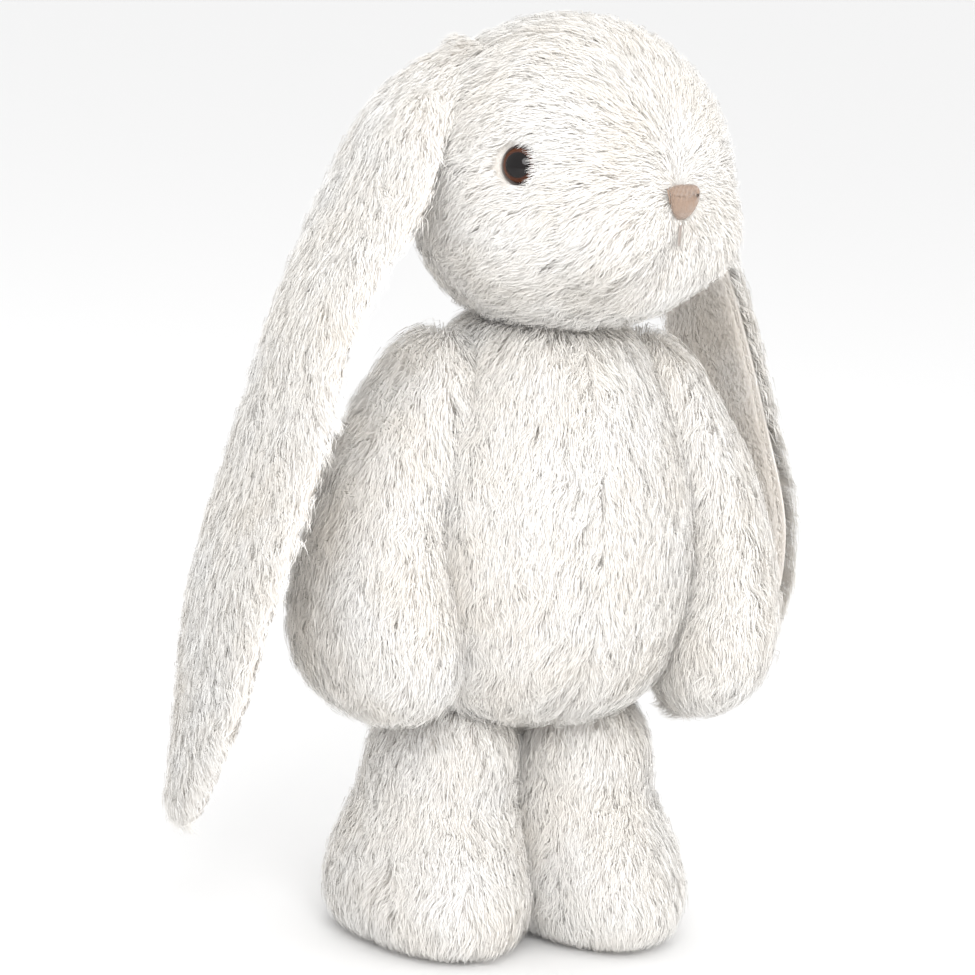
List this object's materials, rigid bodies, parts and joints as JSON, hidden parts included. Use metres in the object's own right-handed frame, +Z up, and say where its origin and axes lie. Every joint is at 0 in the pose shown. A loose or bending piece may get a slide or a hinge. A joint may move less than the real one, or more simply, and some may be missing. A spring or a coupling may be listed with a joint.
{
  "type": "stuffed bunny rabbit",
  "caption": "Standing plush rabbit with long lop ears, round head and belly, hanging arms and flat feet; head, ears, arms and legs move.",
  "frame": {"origin": "on the ground, midway between the two feet, under the neck", "axes": "+Z up; the belly and toes face -Y; the rabbit's right side is -X; the head is turned 15 degrees towards its left (+X) at rest"},
  "size_m": [0.2357, 0.1281, 0.296],
  "materials": {
    "long_pile_plush": "cream long-pile plush, cut pile about 9 mm",
    "short_pile_plush": "warm cream short-pile plush",
    "fibre_filling": "white polyester fibre",
    "pellets": "plastic pellets in a cotton pouch",
    "eye_plastic": "polished dome, black pupil with a copper-brown rim",
    "washer_plastic": "moulded",
    "nose_thread": "beige satin stitch"
  },
  "bodies": {
    "torso": {"torso_panel_right": "long_pile_plush", "torso_panel_left": "long_pile_plush", "torso_stuffing": "fibre_filling", "tail_cover": "long_pile_plush", "tail_stuffing": "fibre_filling"},
    "neck": {"neck_stuffing": "fibre_filling"},
    "head": {"face_panel_right": "long_pile_plush", "face_panel_left": "long_pile_plush", "head_back_panel": "long_pile_plush", "head_stuffing": "fibre_filling", "eye_right": "eye_plastic", "eye_left": "eye_plastic", "eye_washer_right": "washer_plastic", "eye_washer_left": "washer_plastic", "nose_embroidery": "nose_thread", "mouth_stitch": "nose_thread"},
    "ear_upper_right": {"ear_back_upper_right": "long_pile_plush", "ear_lining_upper_right": "short_pile_plush"},
    "ear_lower_right": {"ear_back_lower_right": "long_pile_plush", "ear_lining_lower_right": "short_pile_plush"},
    "arm_right": {"arm_outer_panel_right": "long_pile_plush", "arm_inner_panel_right": "long_pile_plush", "arm_stuffing_right": "fibre_filling"},
    "leg_right": {"leg_outer_panel_right": "long_pile_plush", "leg_inner_panel_right": "long_pile_plush", "sole_right": "long_pile_plush", "leg_stuffing_right": "fibre_filling", "pellet_pouch_right": "pellets"},
    "ear_upper_left": {"ear_back_upper_left": "long_pile_plush", "ear_lining_upper_left": "short_pile_plush"},
    "ear_lower_left": {"ear_back_lower_left": "long_pile_plush", "ear_lining_lower_left": "short_pile_plush"},
    "arm_left": {"arm_outer_panel_left": "long_pile_plush", "arm_inner_panel_left": "long_pile_plush", "arm_stuffing_left": "fibre_filling"},
    "leg_left": {"leg_outer_panel_left": "long_pile_plush", "leg_inner_panel_left": "long_pile_plush", "sole_left": "long_pile_plush", "leg_stuffing_left": "fibre_filling", "pellet_pouch_left": "pellets"}
  },
  "joints": [
    {"name": "neck_turn", "type": "hinge", "parent": "torso", "child": "neck", "pos_m": [0, 0, 0.203], "axis": [0, 0, 1], "range_deg": [-75, 45], "stiffness_Nm_per_rad": 0.15},
    {"name": "head_nod", "type": "hinge", "parent": "neck", "child": "head", "pos_m": [0, 0, 0.203], "axis": [0.9659, 0.2588, 0], "range_deg": [-20, 15], "stiffness_Nm_per_rad": 0.5},
    {"name": "ear_lift_right", "type": "hinge", "parent": "head", "child": "ear_upper_right", "pos_m": [-0.0373, -0.00068, 0.2845], "axis": [-0.2523, 0.9406, 0.2273], "range_deg": [0, 100], "stiffness_Nm_per_rad": 0.02},
    {"name": "ear_lift_left", "type": "hinge", "parent": "head", "child": "ear_upper_left", "pos_m": [0.03264, 0.01806, 0.2845], "axis": [0.2518, -0.9407, -0.2273], "range_deg": [0, 100], "stiffness_Nm_per_rad": 0.02},
    {"name": "ear_bend_right", "type": "hinge", "parent": "ear_upper_right", "child": "ear_lower_right", "pos_m": [-0.09283, -0.00831, 0.1615], "axis": [-0.1354, 0.9901, -0.0361], "range_deg": [-8, 40], "stiffness_Nm_per_rad": 0.02},
    {"name": "ear_bend_left", "type": "hinge", "parent": "ear_upper_left", "child": "ear_lower_left", "pos_m": [0.09016, 0.04072, 0.1655], "axis": [0.2909, -0.9567, 0.0106], "range_deg": [-8, 40], "stiffness_Nm_per_rad": 0.02},
    {"name": "shoulder_swing_right", "type": "hinge", "parent": "torso", "child": "arm_right", "pos_m": [-0.05, 0, 0.186], "axis": [-1, 0, 0], "range_deg": [-8, 90], "stiffness_Nm_per_rad": 0.03},
    {"name": "shoulder_swing_left", "type": "hinge", "parent": "torso", "child": "arm_left", "pos_m": [0.05, 0, 0.186], "axis": [-1, 0, 0], "range_deg": [-8, 90], "stiffness_Nm_per_rad": 0.03},
    {"name": "hip_swing_right", "type": "hinge", "parent": "torso", "child": "leg_right", "pos_m": [-0.024, -0.002, 0.06], "axis": [-1, 0, 0], "range_deg": [-35, 75], "stiffness_Nm_per_rad": 0.9},
    {"name": "hip_swing_left", "type": "hinge", "parent": "torso", "child": "leg_left", "pos_m": [0.024, -0.002, 0.06], "axis": [-1, 0, 0], "range_deg": [-35, 75], "stiffness_Nm_per_rad": 0.9}
  ]
}
